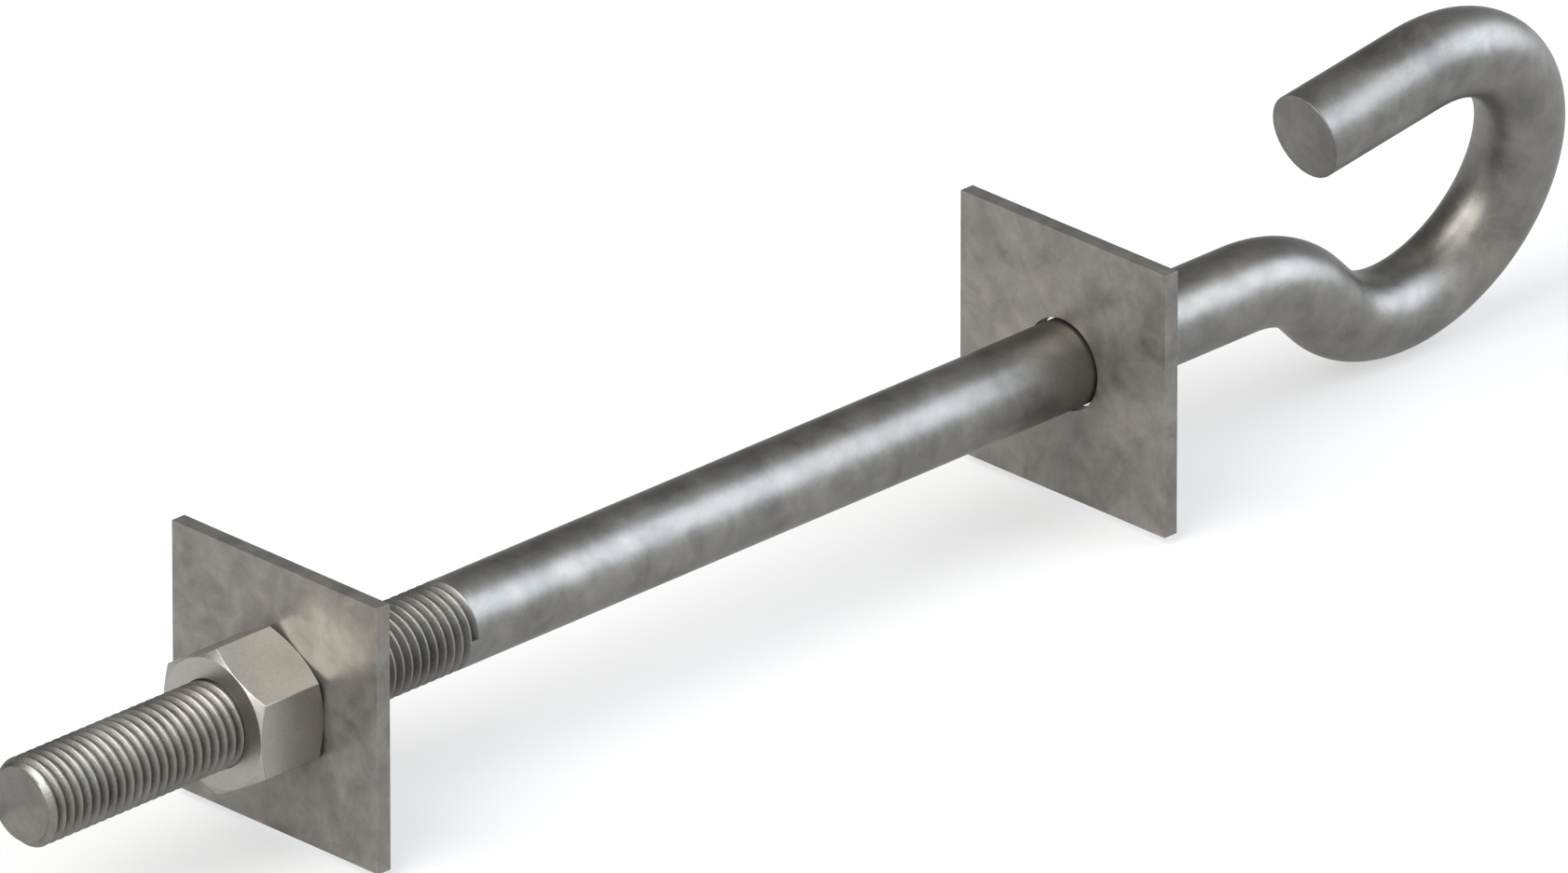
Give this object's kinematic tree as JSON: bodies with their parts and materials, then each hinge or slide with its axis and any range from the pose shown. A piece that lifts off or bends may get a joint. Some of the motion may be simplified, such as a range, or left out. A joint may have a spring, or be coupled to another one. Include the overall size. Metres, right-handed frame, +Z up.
{
  "type": "hook bolt",
  "caption": "Long round bar with a threaded end and an open hook at the other end, carrying loose square plates and a hexagon nut that clamp a post, pole or wall between them.",
  "frame": {"origin": "centre of the flat end face of the thread, on the bar's axis", "axes": "+X along the bar from the thread's end towards the hook, +Z up, square to the plates' upper and lower edges; the hook's plane leans 12.2 degrees from upright towards -Y"},
  "size_m": [0.369, 0.05, 0.0676],
  "materials": {
    "bar_zinc": "hot-dip galvanised, satin",
    "plate_zinc": "hot-dip galvanised, dull and cloudy",
    "nut_zinc": "zinc coated, fine matt grain"
  },
  "bodies": {
    "bolt": {"hook_bolt": "bar_zinc"},
    "outer_plate": {"outer_plate": "plate_zinc"},
    "nut": {"hex_nut": "nut_zinc"},
    "inner_plate": {"inner_plate": "plate_zinc"}
  },
  "joints": [
    {"name": "outer_plate_slide", "type": "slide", "parent": "bolt", "child": "outer_plate", "axis": [1, 0, 0], "range_m": [-0.058, 0.039]},
    {"name": "nut_spin", "type": "hinge", "parent": "outer_plate", "child": "nut", "pos_m": [0.06, 0, 0], "axis": [1, 0, 0], "range_deg": [-10450, 7030]},
    {"name": "inner_plate_slide", "type": "slide", "parent": "bolt", "child": "inner_plate", "axis": [1, 0, 0], "range_m": [-0.147, 0.04]}
  ],
  "couplings": [
    {"joint": "nut_spin", "follows": "outer_plate_slide", "rad_per_m": 3141.6}
  ]
}
